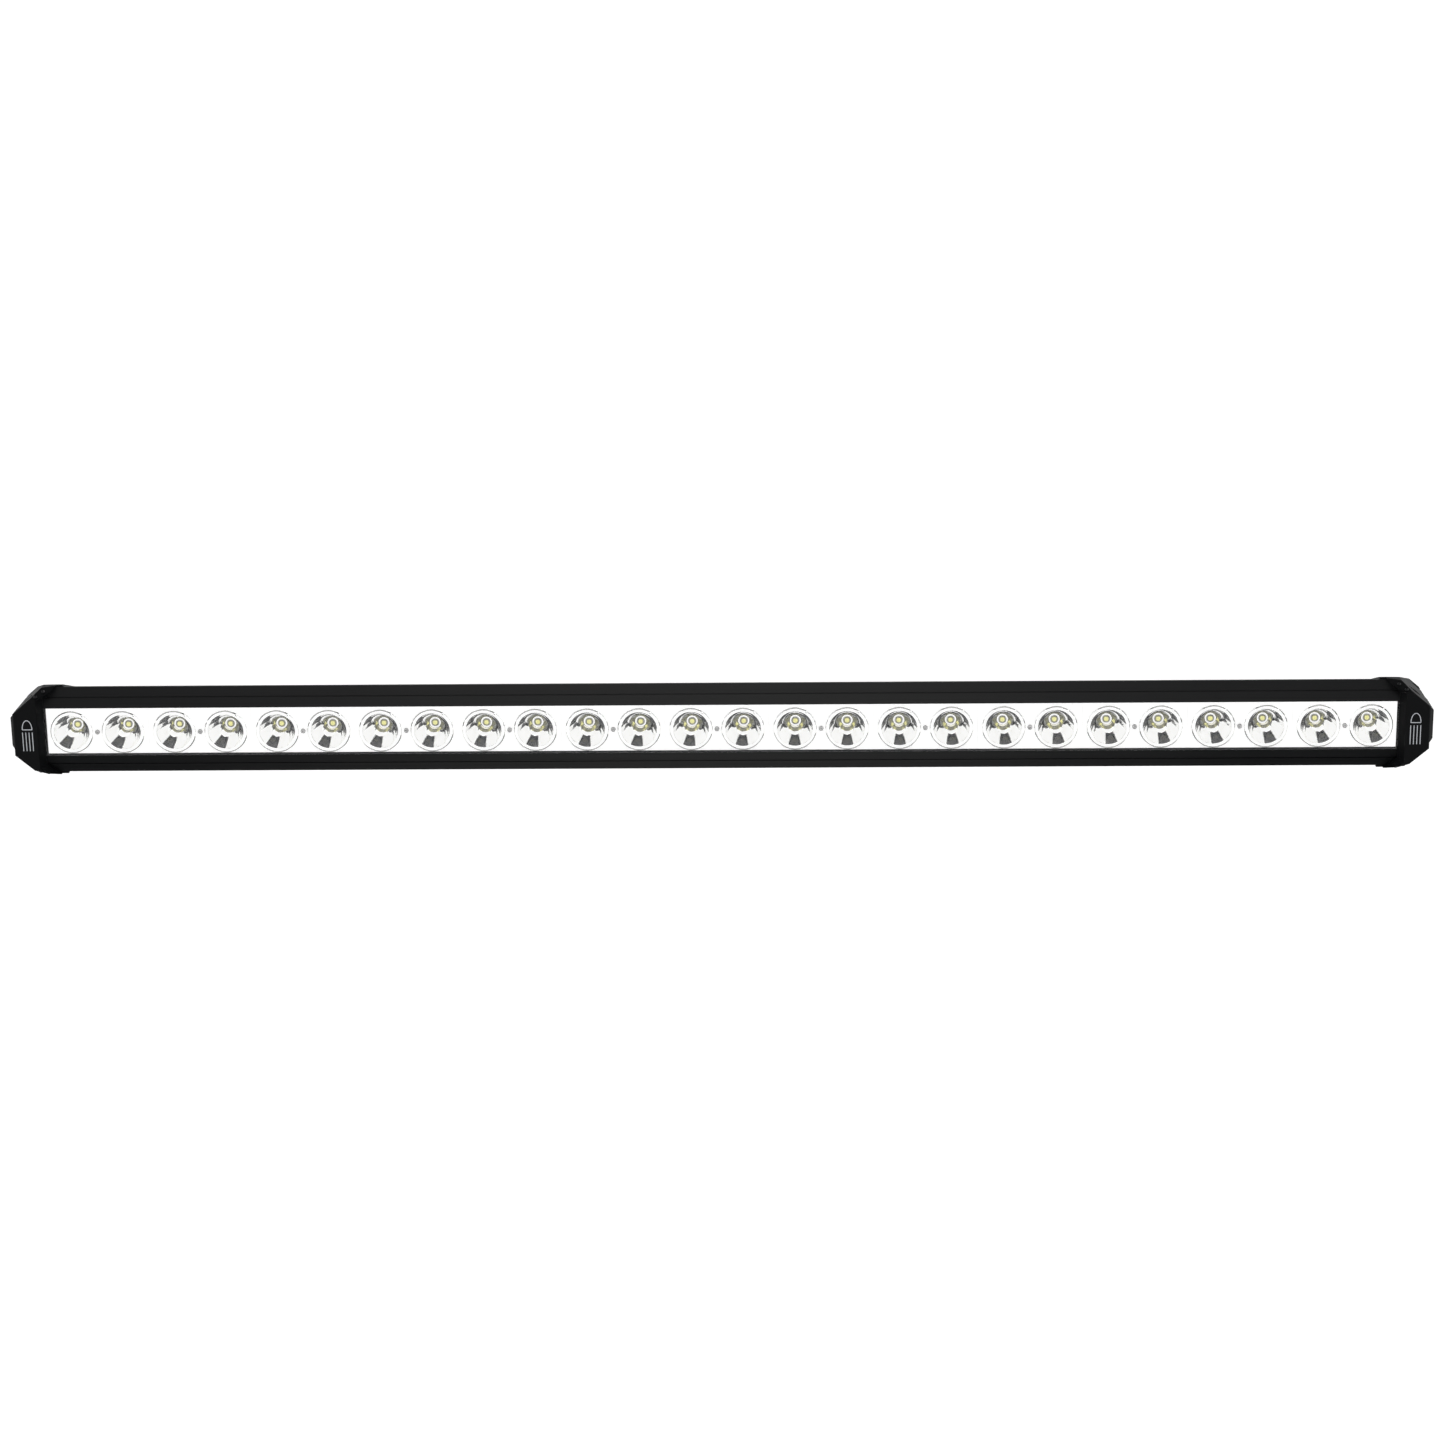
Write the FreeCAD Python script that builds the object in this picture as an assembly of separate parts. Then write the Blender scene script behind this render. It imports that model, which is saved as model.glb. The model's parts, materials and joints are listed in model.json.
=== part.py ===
"""Single-row LED light bar: a finned aluminium housing, 26 reflector cups behind a clear lens,
cast end caps, and a swivel mounting pad on each end. Millimetres, +Z up, lens facing -Y,
length along X, origin at the centre of the bounding box."""

import FreeCAD, Part
import math
import os

V = FreeCAD.Vector

# ---- driving dimensions ----
CUP_PITCH = 46.5  # centre to centre of neighbouring cups
MODULES = 13  # two cups in each reflector module
WINDOW_HALF = 604.8  # half the length of the visible window
HOUSING_HALF = 605.5  # half the length of the extrusion
END_X = 606.3  # where the end caps' flanges sit on their gaskets

# Depths run backwards from the window's front edge. The whole part reaches from CAP_FRONT to DEPTH.
DEPTH = 70.0
CAP_FRONT, CAP_BACK = -9.0, 57.0
WINDOW_Z = 22.3  # half the height of the window
RIDGE_DEPTH, RIDGE_BACK, RIDGE_Z = 9.4, 11.6, 39.7  # the bezel slopes back to this ridge
TAPER = 0.325  # height lost per depth behind the ridge

# lens in its slot, as depths and half heights
SLOT_FRONT, SLOT_BACK, SLOT_Z = 2.4, 5.1, 24.3
LENS_FRONT, FLANGE_FRONT, LENS_BACK = 0.6, 2.5, 4.1
LENS_Z, LENS_FLANGE_Z = 22.0, 24.0
SEAL_INNER_Z = CHAMBER_Z = 22.6

# optics stack, as depths
PLATE_FRONT, PLATE_BACK = 5.1, 6.7
OPTICS_Z = -1.2  # the row of cups sits a little below the window's middle
RING_PROUD, RING_GROOVE = 0.8, 0.5  # one 45-degree slope runs from the ring's face down into its groove
BOARD_FRONT, BOARD_BACK = 31.0, 32.6
SHELF_FRONT, SHELF_BACK = 33.0, 37.6
PLATE_Z = 22.2
CUP_R, CUP_BASE_R, CUP_WALL = 16.1, 5.0, 1.2
CUP_DEEP = BOARD_FRONT - 0.4  # where the cup's curve meets its flat floor
LED_HOLE_R = 3.7  # hole in the cup's floor for the emitter
LED_HALF, LED_HIGH, DOME_R = 2.5, 0.9, 2.2
RING_R = 19.3
MODULE_GAP = 0.06  # between neighbouring reflector modules
SCREW_POST_R, SCREW_HEAD_R, SCREW_SINK = 3.4, 2.25, 0.9
SCREW_SHANK_R, SCREW_THREAD_R, SCREW_HOLE_R = 1.4, 1.5, 1.6
NOTCH_DEG = 34.0  # clockwise from the top, seen from the front

# driver chamber and fins
CORE_Z, DRIVER_CORE_Z = 25.8, 20.0
DRIVER_BACK, DRIVER_Z = 53.0, 16.5
REAR_PLATE_BACK, REAR_PLATE = 57.0, 2.4
FIN = 2.2
FIN_DEPTHS = [19.0, 25.5, 32.0, 38.5, 45.0, 51.5]
REAR_FIN_PITCH = 5.6

# cap screws, as (depth, z)
CAP_SCREWS = [(8.8, 29.4), (8.8, -29.4), (47.0, 22.6), (47.0, -22.6)]
CAP_HOLE_R, CAP_SCREW_R, CAP_BOSS_R = 2.0, 1.9, 4.2
SEAT_X = WINDOW_HALF + 8.2

# end cap: its outline seen from the front and from the side
CAP_FACE_X, CAP_FACE_Z = WINDOW_HALF + 26.3, 19.3
SHOULDER_X, SHOULDER_Z = WINDOW_HALF + 1.5, 40.4
EAR_X, EAR_Z = WINDOW_HALF - 17.0, 41.5
CAP_FRONT_Z = 33.0
POCKET_X = WINDOW_HALF + 17.0
EAR_GAP = 0.15
CAVITY_Z = 15.5  # half height of the caps' hollows and of the driver board
CORNER_HEAD_R, CORNER_HOLE_R = 1.6, 1.2

# swivel pad on the cap's outer face
PIVOT_DEPTH = 20.0
PAD_DEEP, PAD_HIGH, PAD_CHAMFER = 40.0, 33.0, 3.4
PAD_INNER_X, PAD_OUTER_X = CAP_FACE_X + 0.4, WINDOW_HALF + 31.0
PIVOT_HOLE_R, PIVOT_R, PIVOT_HEAD_R, SINK_R = 4.05, 4.0, 6.95, 7.5
MOUNT_HOLE_R, MOUNT_SPACING = 2.5, 26.0

# cable gland on the right cap's rear face, and breather on the left
GLAND_X = WINDOW_HALF + 11.5
GLAND_BORE_R, GLAND_INNER_R, GLAND_THREAD_R, GLAND_HOLE_R = 3.2, 4.6, 6.0, 6.1
VENT_HOLE_R = 4.1

OUT = "parts"


# ---- small builders ----
def at(depth):
    """Y of a given depth behind the window's front edge."""
    return depth - (CAP_FRONT + DEPTH) / 2


def prism_x(points, x0, x1):
    """A (depth, z) outline, extruded from x0 to x1."""
    wire = Part.makePolygon([V(x0, at(d), z) for d, z in points + points[:1]])
    return Part.Face(wire).extrude(V(x1 - x0, 0, 0))


def prism_y(points, depth0, depth1):
    """An (x, z) outline, extruded from one depth to another."""
    wire = Part.makePolygon([V(x, at(depth0), z) for x, z in points + points[:1]])
    return Part.Face(wire).extrude(V(0, depth1 - depth0, 0))


def box(x0, x1, depth0, depth1, z0, z1):
    return Part.makeBox(x1 - x0, depth1 - depth0, z1 - z0, V(x0, at(depth0), z0))


def rod_x(radius, x0, x1, depth, z):
    return Part.makeCylinder(radius, x1 - x0, V(x0, at(depth), z), V(1, 0, 0))


def rod_y(radius, depth0, depth1, x, z):
    return Part.makeCylinder(radius, depth1 - depth0, V(x, at(depth0), z), V(0, 1, 0))


def hex_rod_y(half_flats, depth0, depth1, x, z):
    """Hexagonal rod along Y, with flats facing up and down at half_flats."""
    r = 2 * half_flats / math.sqrt(3)
    corners = [(x + r * math.cos(math.radians(a)), z + r * math.sin(math.radians(a)))
               for a in range(0, 360, 60)]
    return prism_y(corners, depth0, depth1)


def revolve_y(points, x, z):
    """A (radius, depth) outline turned about the line along Y through (x, z)."""
    wire = Part.makePolygon([V(x + r, at(d), z) for r, d in points + points[:1]])
    return Part.Face(wire).revolve(V(x, 0, z), V(0, 1, 0), 360)


def mirrored_z(points):
    """The whole outline of a shape that is symmetric about z = 0, from its upper half."""
    return points + [(d, -z) for d, z in reversed(points)]


def fuse(shapes):
    return shapes[0].multiFuse(shapes[1:]).removeSplitter()


def to_left(shape):
    return shape.mirror(V(0, 0, 0), V(1, 0, 0))


def save(name, shapes):
    shape = shapes if isinstance(shapes, Part.Shape) else Part.makeCompound(shapes)
    if shape.ShapeType == "Compound" and len(shape.Solids) == 1:
        shape = shape.Solids[0]
    if not shape.isValid():
        print("not valid:", name)
    print(f"{name}: {len(shape.Solids)} solid(s), {shape.Volume / 1000:.2f} cm3")
    shape.exportStep(os.path.join(OUT, name + ".step"))


# ---- positions that repeat ----
def module_centres():
    first = -(MODULES - 1) * CUP_PITCH
    return [first + 2 * CUP_PITCH * i for i in range(MODULES)]


def cup_centres():
    return [x + side * CUP_PITCH / 2 for x in module_centres() for side in (-1, 1)]


def envelope_z(depth):
    """Half height of the tapered rear envelope at a depth."""
    return RIDGE_Z - (depth - RIDGE_BACK) * TAPER


# ---- housing ----
def bezel_point(share, inward=0.0, along=0.0):
    """A point on the sloping bezel, from the window edge (0) to the ridge (1), as (depth, z)."""
    rise, run = RIDGE_Z - WINDOW_Z, RIDGE_DEPTH
    length = math.hypot(rise, run)
    depth = share * run + (along * run + inward * rise) / length
    return depth, WINDOW_Z + share * rise + (along * rise - inward * run) / length


def bezel_groove(share):
    """Outline of the small groove that runs along the bezel."""
    half_width, groove_depth = 0.6, 0.9
    return [bezel_point(share, i, a) for i, a in ((0, -half_width), (groove_depth, -half_width),
                                                  (groove_depth, half_width), (0, half_width))]


def bezel_core_outline():
    """Bezel, screw blocks, lamp chamber walls and driver chamber walls."""
    wall, ridge_face = 2.6, 1.6
    block_z, block_back = 33.6, 13.2
    upper = [(0.0, WINDOW_Z), *bezel_groove(0.5), (RIDGE_DEPTH, RIDGE_Z), (RIDGE_BACK, RIDGE_Z)]
    upper += [(RIDGE_BACK, RIDGE_Z - ridge_face), (bezel_point(0.65, wall)[0] + 0.6, block_z)]
    upper += [(block_back, block_z)]
    upper += [(block_back, CORE_Z), (SHELF_BACK, CORE_Z), (SHELF_BACK, DRIVER_CORE_Z)]
    upper += [(REAR_PLATE_BACK, DRIVER_CORE_Z)]
    return mirrored_z(upper)


def top_fins(x0, x1):
    """Upright blades above and below the core, cut off by the tapered envelope."""
    blades = []
    for centre in FIN_DEPTHS:
        front, back = centre - FIN / 2, centre + FIN / 2
        root = DRIVER_CORE_Z - 1 if back > SHELF_BACK else CORE_Z - 1
        upper = [(front, root), (front, envelope_z(front)), (back, envelope_z(back)), (back, root)]
        blades += [prism_x(upper, x0, x1), prism_x([(d, -z) for d, z in upper], x0, x1)]
    return blades


def rear_fins(x0, x1):
    """Blades that stand back from the driver chamber's rear wall."""
    levels = [REAR_FIN_PITCH * (i + 0.5) for i in range(-4, 4)]
    front = REAR_PLATE_BACK - 1
    blades = [box(x0, x1, front, DEPTH, z - FIN / 2, z + FIN / 2) for z in levels]
    plate = [(depth, envelope_z(depth)) for depth in (REAR_PLATE_BACK - REAR_PLATE, REAR_PLATE_BACK)]
    return blades + [prism_x(mirrored_z(plate), x0, x1)]


def housing():
    x0, x1 = -HOUSING_HALF, HOUSING_HALF
    solid = [prism_x(bezel_core_outline(), x0, x1), *top_fins(x0, x1), *rear_fins(x0, x1)]
    solid += [rod_x(CAP_BOSS_R, x0, x1, d, z) for d, z in CAP_SCREWS[2:]]
    body = fuse(solid)
    a, b = x0 - 1, x1 + 1
    cuts = [box(a, b, -1, SLOT_FRONT, -WINDOW_Z, WINDOW_Z)]
    cuts.append(box(a, b, SLOT_FRONT, SLOT_BACK, -SLOT_Z, SLOT_Z))
    cuts.append(box(a, b, SLOT_BACK, SHELF_FRONT, -CHAMBER_Z, CHAMBER_Z))
    cuts.append(box(a, b, SHELF_BACK, DRIVER_BACK, -DRIVER_Z, DRIVER_Z))
    cuts += [rod_x(CAP_HOLE_R, a, b, d, z) for d, z in CAP_SCREWS]
    cuts += [rod_y(SCREW_THREAD_R, SHELF_FRONT - 1, SHELF_BACK + 1, x, OPTICS_Z) for x in module_centres()]
    cuts.append(rod_y(GROMMET_R, SHELF_FRONT - 1, SHELF_BACK + 1, LEAD_X, LEAD_Z))
    return body.cut(Part.makeCompound(cuts))


# ---- lens and seals ----
def lens():
    """Clear plate with a raised window and a thinner flange held in the slot."""
    flange_half, window_half = HOUSING_HALF - 0.4, WINDOW_HALF - 0.2
    flange = box(-flange_half, flange_half, FLANGE_FRONT, LENS_BACK, -LENS_FLANGE_Z, LENS_FLANGE_Z)
    window = box(-window_half, window_half, LENS_FRONT, FLANGE_FRONT + 0.5, -LENS_Z, LENS_Z)
    return fuse([flange, window])


def lens_seal():
    half, band = HOUSING_HALF - 0.2, 1.6
    outer = box(-half, half, LENS_BACK, SLOT_BACK, -LENS_FLANGE_Z, LENS_FLANGE_Z)
    inner_half = half - band
    return outer.cut(box(-inner_half, inner_half, LENS_BACK - 1, SLOT_BACK + 1, -SEAL_INNER_Z, SEAL_INNER_Z))


# ---- reflector modules ----
def cup_radius(depth):
    """Parabola from the flat floor to the mouth."""
    growth = (CUP_R ** 2 - CUP_BASE_R ** 2) / (CUP_DEEP - PLATE_FRONT)
    return math.sqrt(CUP_BASE_R ** 2 + growth * (CUP_DEEP - depth))


def cup_curve(offset):
    """The cup's wall as a smooth curve of (radius, depth), moved outward by offset."""
    steps = 10
    depths = [PLATE_FRONT + (CUP_DEEP - PLATE_FRONT) * i / steps for i in range(steps + 1)]
    curve = Part.BSplineCurve()
    curve.interpolate([V(cup_radius(d) + offset, at(d), 0) for d in depths])
    return curve.toShape()


def turned_cup(offset, mouth_depth, x):
    """Solid of revolution under the cup curve, with a straight mouth out to mouth_depth."""
    curve = cup_curve(offset)
    mouth, base = curve.Vertexes[0].Point, curve.Vertexes[-1].Point
    lines = [Part.makeLine(V(0, at(mouth_depth), 0), V(mouth.x, at(mouth_depth), 0))]
    if abs(mouth.y - at(mouth_depth)) > 1e-6:
        lines.append(Part.makeLine(V(mouth.x, at(mouth_depth), 0), mouth))
    closing = [Part.makeLine(base, V(0, base.y, 0)), Part.makeLine(V(0, base.y, 0), V(0, at(mouth_depth), 0))]
    wire = Part.Wire([*lines, curve, *closing])
    turned = Part.Face(wire).revolve(V(0, 0, 0), V(0, 1, 0), 360)
    turned.translate(V(x, 0, OPTICS_Z))
    return turned


def ring_notch(x):
    """A narrow break in the cup's raised rim, up and to the right of the cup."""
    half_width = 0.8
    notch = box(-half_width, half_width, PLATE_FRONT - 2, PLATE_FRONT, CUP_R + 1.5, RING_R + 1)
    notch.rotate(V(0, 0, 0), V(0, 1, 0), NOTCH_DEG)
    notch.translate(V(x, 0, OPTICS_Z))
    return notch


def reflector(centre):
    half, back, z = CUP_PITCH - MODULE_GAP / 2, BOARD_FRONT - 0.1, OPTICS_Z
    cups = (centre - CUP_PITCH / 2, centre + CUP_PITCH / 2)
    face, groove_r = PLATE_FRONT - RING_PROUD, RING_R + RING_GROOVE
    ring = [(0, face), (RING_R - RING_PROUD, face), (RING_R, PLATE_FRONT), (RING_R, PLATE_BACK),
            (0, PLATE_BACK)]
    groove = [(RING_R, PLATE_FRONT), (groove_r, PLATE_FRONT + RING_GROOVE), (groove_r, PLATE_FRONT - 1),
              (RING_R, PLATE_FRONT - 1)]
    solids = [box(centre - half, centre + half, PLATE_FRONT, PLATE_BACK, -PLATE_Z, PLATE_Z)]
    solids.append(rod_y(SCREW_POST_R, PLATE_BACK - 0.5, back, centre, z))
    solids += [turned_cup(CUP_WALL, PLATE_FRONT, x) for x in cups]
    solids += [revolve_y(ring, x, z) for x in cups]
    solids += [rod_y(CUP_BASE_R + CUP_WALL, CUP_DEEP - 0.5, back, x, z) for x in cups]
    cuts = [turned_cup(0, face - 1, x) for x in cups]
    cuts += [rod_y(LED_HOLE_R, CUP_DEEP - 1, BOARD_FRONT, x, z) for x in cups]
    cuts += [revolve_y(groove, x, z) for x in cups]
    cuts += [ring_notch(x) for x in cups]
    cuts.append(rod_y(SCREW_HOLE_R, PLATE_FRONT - 1, BOARD_FRONT, centre, z))
    cuts.append(rod_y(SCREW_HEAD_R + 0.15, PLATE_FRONT - 1, PLATE_FRONT + SCREW_SINK, centre, z))
    return fuse(solids).cut(Part.makeCompound(cuts))


def reflector_screw(x):
    """Small cross-head screw, sunk in the plate, that holds a module to the housing's shelf."""
    top, seat = PLATE_FRONT - 0.5, PLATE_FRONT + SCREW_SINK
    slot_deep, arm, half_slot = 0.9, 1.3, 0.28
    head = [(0, seat), (SCREW_HEAD_R, seat), (SCREW_HEAD_R, top + 0.4), (SCREW_HEAD_R - 0.5, top), (0, top)]
    screw = revolve_y(head, x, OPTICS_Z).fuse(rod_y(SCREW_SHANK_R, seat - 0.5, SHELF_BACK - 0.5, x, OPTICS_Z))
    spans = ((arm, half_slot), (half_slot, arm))
    slots = [box(x - a, x + a, top - 1, top + slot_deep, OPTICS_Z - b, OPTICS_Z + b) for a, b in spans]
    return screw.cut(Part.makeCompound(slots)).removeSplitter()


# ---- LED boards and driver ----
SEAM_X = CUP_PITCH  # the boards meet between two modules
BOARD_Z, THERMAL_PAD_Z = 20.0, 19.0
LEAD_X, LEAD_Z, GROMMET_R = 558.0, 12.0, 3.0
INPUT_LEAD_R, INPUT_Z = 1.2, 7.0
OUTPUT_LEAD_R, OUTPUT_Z = 0.9, 1.1
DRIVER_X0, DRIVER_X1 = 150.0, 570.0  # driver board
GAP_PAD = 2.0
TERMINAL_X1 = 554.0
SPLICE_X = END_X + 0.6
DRIVER_FRONT = SHELF_BACK + GAP_PAD
DRIVER_TOP = DRIVER_FRONT + 1.6


def board_spans():
    end = MODULES * CUP_PITCH
    return {"left": (-end, SEAM_X - 0.2), "right": (SEAM_X + 0.2, end)}


def led_board(span, front, back, half_height, hole_r):
    x0, x1 = span
    board = box(x0, x1, front, back, -half_height, half_height)
    holes = [rod_y(hole_r, front - 1, back + 1, x, OPTICS_Z) for x in module_centres() if x0 < x < x1]
    if x0 < LEAD_X < x1:
        holes.append(rod_y(GROMMET_R - 0.4, front - 1, back + 1, LEAD_X, LEAD_Z))
    return board.cut(Part.makeCompound(holes))


def led_package(x):
    low, high = OPTICS_Z - LED_HALF, OPTICS_Z + LED_HALF
    return box(x - LED_HALF, x + LED_HALF, BOARD_FRONT - LED_HIGH, BOARD_FRONT, low, high)


def led_dome(x):
    foot = BOARD_FRONT - LED_HIGH
    ball = Part.makeSphere(DOME_R, V(x, at(foot), OPTICS_Z))
    return ball.common(box(x - DOME_R, x + DOME_R, foot - DOME_R, foot, OPTICS_Z - DOME_R, OPTICS_Z + DOME_R))


def driver_board():
    return box(DRIVER_X0, DRIVER_X1, DRIVER_FRONT, DRIVER_TOP, -CAVITY_Z, CAVITY_Z)


def driver_gap_pad():
    return box(DRIVER_X0 + 5, LEAD_X - 8, SHELF_BACK, DRIVER_FRONT, -14, 14)


def inductor(x):
    """Toroid with bevelled rims, standing on the driver board."""
    bore, radius, high, bevel = 2.6, 6.5, 7.0, 0.5
    foot, top = DRIVER_TOP, DRIVER_TOP + high
    core = [(bore, foot), (radius - bevel, foot), (radius, foot + bevel), (radius, top - bevel),
            (radius - bevel, top), (bore, top)]
    return revolve_y(core, x, 4.0)


def capacitor(x):
    radius, length = 4.0, 14.0
    return Part.makeCylinder(radius, length, V(x, at(DRIVER_TOP + radius), -10.5), V(1, 0, 0))


def transistor(x):
    """Power package: a metal tab with a moulded body on it."""
    half_width, tab, thick = 3.2, 0.8, 2.6
    base = box(x - half_width, x + half_width, DRIVER_TOP, DRIVER_TOP + tab, -12.0, -3.0)
    body = box(x - half_width + 0.2, x + half_width - 0.2, DRIVER_TOP + tab, DRIVER_TOP + thick, -11.0, -4.0)
    return base.fuse(body).removeSplitter()


def terminal_block():
    long, high, half = 14.0, 8.0, 12.0
    block = box(TERMINAL_X1 - long, TERMINAL_X1, DRIVER_TOP, DRIVER_TOP + high, -half, half)
    holes = [rod_x(INPUT_LEAD_R + 0.4, TERMINAL_X1 - 2, TERMINAL_X1 + 1, DRIVER_TOP + high / 2, z)
             for z in (-INPUT_Z, INPUT_Z)]
    return block.cut(Part.makeCompound(holes))


def input_leads():
    """Two wires from the terminal block to the splices in the right cap."""
    return [rod_x(INPUT_LEAD_R, TERMINAL_X1 - 1.8, SPLICE_X, DRIVER_TOP + 4, z) for z in (-INPUT_Z, INPUT_Z)]


def lead_splices():
    long, deep, half = 3.0, 4.2, 2.6
    front = DRIVER_TOP + 4 - deep / 2
    return [box(SPLICE_X, SPLICE_X + long, front, front + deep, z - half, z + half)
            for z in (-INPUT_Z, INPUT_Z)]


def output_leads():
    """Two wires through the shelf, from the driver to the LED board."""
    levels = (LEAD_Z - OUTPUT_Z, LEAD_Z + OUTPUT_Z)
    return [rod_y(OUTPUT_LEAD_R, BOARD_FRONT - 0.5, DRIVER_FRONT, LEAD_X, z) for z in levels]


def grommet():
    ring = rod_y(GROMMET_R - 0.05, SHELF_FRONT + 0.1, SHELF_BACK - 0.1, LEAD_X, LEAD_Z)
    holes = [rod_y(OUTPUT_LEAD_R + 0.05, SHELF_FRONT - 1, SHELF_BACK + 1, LEAD_X, LEAD_Z + dz)
             for dz in (-OUTPUT_Z, OUTPUT_Z)]
    return ring.cut(Part.makeCompound(holes))


# ---- right end cap and its fittings; the left ones are mirrored ----
def cap_block():
    """The casting's outer shape: bevelled seen from the front, ridged seen from the side."""
    front_view = mirrored_z([(EAR_X, EAR_Z), (WINDOW_HALF - 9.0, EAR_Z), (SHOULDER_X, SHOULDER_Z),
                             (CAP_FACE_X, CAP_FACE_Z)])
    back_z = envelope_z(CAP_BACK) + EAR_Z - RIDGE_Z
    side_view = mirrored_z([(CAP_FRONT, CAP_FRONT_Z), (RIDGE_DEPTH - 3, EAR_Z), (RIDGE_BACK, EAR_Z),
                            (CAP_BACK, back_z)])
    block = prism_y(front_view, CAP_FRONT, CAP_BACK)
    block = block.common(prism_x(side_view, EAR_X, CAP_FACE_X))
    rim = [e for e in block.Edges if all(v.Point.x > WINDOW_HALF + 5 for v in e.Vertexes)
           and all(v.Point.y < at(CAP_FRONT) + 0.01 for v in e.Vertexes)]
    return block.makeChamfer(1.0, rim)


def housing_clearance():
    """Room for the end of the extrusion, with its slot and window left filled for the cap's lip."""
    gap = EAR_GAP
    lip_back = FLANGE_FRONT - 0.15
    upper = [(lip_back, WINDOW_Z - gap), (-gap, WINDOW_Z - gap), bezel_point(0.02, -gap),
             bezel_point(1.0, -gap), (RIDGE_BACK, RIDGE_Z + gap),
             (CAP_BACK + 1, envelope_z(CAP_BACK + 1) + gap)]
    return prism_x(mirrored_z(upper), EAR_X - 1, END_X)


def window_bevel():
    """What the cap leaves open in front of the lens: a wall that leans outward to the front."""
    front, back = CAP_FRONT - 1, FLANGE_FRONT - 0.15
    outline = [(EAR_X - 20, front), (WINDOW_HALF + 5.0, front), (WINDOW_HALF, 0.0), (WINDOW_HALF, back),
               (EAR_X - 20, back)]
    wire = Part.makePolygon([V(x, at(d), -WINDOW_Z) for x, d in outline + outline[:1]])
    return Part.Face(wire).extrude(V(0, 0, 2 * WINDOW_Z))


def bezel_bevel(sign):
    """What the cap leaves open in front of the bezel, ending on a diagonal towards the ridge."""
    start_x, start_z = EAR_X - 20, WINDOW_Z - 0.2

    def outline(depth, edge_x, diagonal):
        corners = [(start_x, start_z), (edge_x, start_z), (edge_x, diagonal - edge_x + WINDOW_HALF),
                   (start_x, diagonal - start_x + WINDOW_HALF)]
        return Part.makePolygon([V(x, at(depth), sign * z) for x, z in corners + corners[:1]])

    foot_x, foot_sum = WINDOW_HALF + 0.3, 30.4
    foot = outline(0.0, foot_x, foot_sum)
    lofted = Part.makeLoft([outline(CAP_FRONT - 1, foot_x + 4.7, foot_sum + 6.5), foot], True, True)
    straight = Part.Face(foot).extrude(V(0, RIDGE_DEPTH, 0))
    return lofted.fuse(straight)


def cap_screw_seats():
    """Clearance holes with counterbores for the four cap screws."""
    hole_r, bore_r = 2.3, 4.3
    cuts = [rod_x(hole_r, HOUSING_HALF - 1, CAP_FACE_X + 1, d, z) for d, z in CAP_SCREWS]
    return cuts + [rod_x(bore_r, SEAT_X, CAP_FACE_X + 1, d, z) for d, z in CAP_SCREWS]


def slope_normal(sign):
    """Outward normal of the cap's sloping top (sign 1) or bottom (sign -1), ahead of the ridge."""
    run, rise = RIDGE_DEPTH - 3 - CAP_FRONT, EAR_Z - CAP_FRONT_Z
    return V(0, -rise, sign * run).normalize()


def corner_points(sign):
    """Where the two small screws sit on that slope, beside the diagonal."""
    run, rise = RIDGE_DEPTH - 3 - CAP_FRONT, EAR_Z - CAP_FRONT_Z
    spots = [(WINDOW_HALF - 1.2, 38.0), (WINDOW_HALF + 4.6, 34.6)]
    return [V(x, at(CAP_FRONT + (z - CAP_FRONT_Z) * run / rise), sign * z) for x, z in spots]


def end_cap():
    front, step, back = 10.0, 37.6, 52.0
    cuts = [housing_clearance(), window_bevel(), bezel_bevel(1), bezel_bevel(-1), *cap_screw_seats()]
    cuts.append(box(END_X - 1, POCKET_X, front, step, -CAVITY_Z, CAVITY_Z))
    cuts.append(box(END_X - 1, GLAND_X + 9, step, back, -CAVITY_Z, CAVITY_Z))
    cuts.append(rod_x(PIVOT_R, POCKET_X - 1, CAP_FACE_X + 1, PIVOT_DEPTH, 0))
    for sign in (1, -1):
        normal = slope_normal(sign)
        cuts += [Part.makeCylinder(CORNER_HOLE_R + 0.1, 6.5, point - normal * 5.5, normal)
                 for point in corner_points(sign)]
    return cap_block().cut(Part.makeCompound(cuts)).removeSplitter()


def with_rear_hole(cap, radius):
    return cap.cut(rod_y(radius, CAP_BACK - 6, CAP_BACK + 1, GLAND_X, 0))


def end_gasket():
    """Flat gasket between the extrusion's end and the cap, open at the driver chamber."""
    inset, hole_r = 1.0, 2.4
    back = REAR_PLATE_BACK - 0.5
    upper = [(FLANGE_FRONT + 0.2, WINDOW_Z + 2.0 - inset), (1.6, WINDOW_Z + 2.0), bezel_point(0.25, inset),
             bezel_point(0.96, inset), (RIDGE_BACK, RIDGE_Z - inset), (back, envelope_z(back) - inset)]
    plate = prism_x(mirrored_z(upper), HOUSING_HALF, END_X)
    holes = [rod_x(hole_r, HOUSING_HALF - 1, END_X + 1, d, z) for d, z in CAP_SCREWS]
    holes.append(box(HOUSING_HALF - 1, END_X + 1, SHELF_BACK, DRIVER_BACK - 1, -CAVITY_Z, CAVITY_Z))
    return plate.cut(Part.makeCompound(holes))


def hex_key(across, x0, x1, depth, z):
    """Hexagonal socket along X."""
    r = across / math.sqrt(3)
    angles = [math.radians(a) for a in range(0, 360, 60)]
    return prism_x([(depth + r * math.cos(a), z + r * math.sin(a)) for a in angles], x0, x1)


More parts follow.
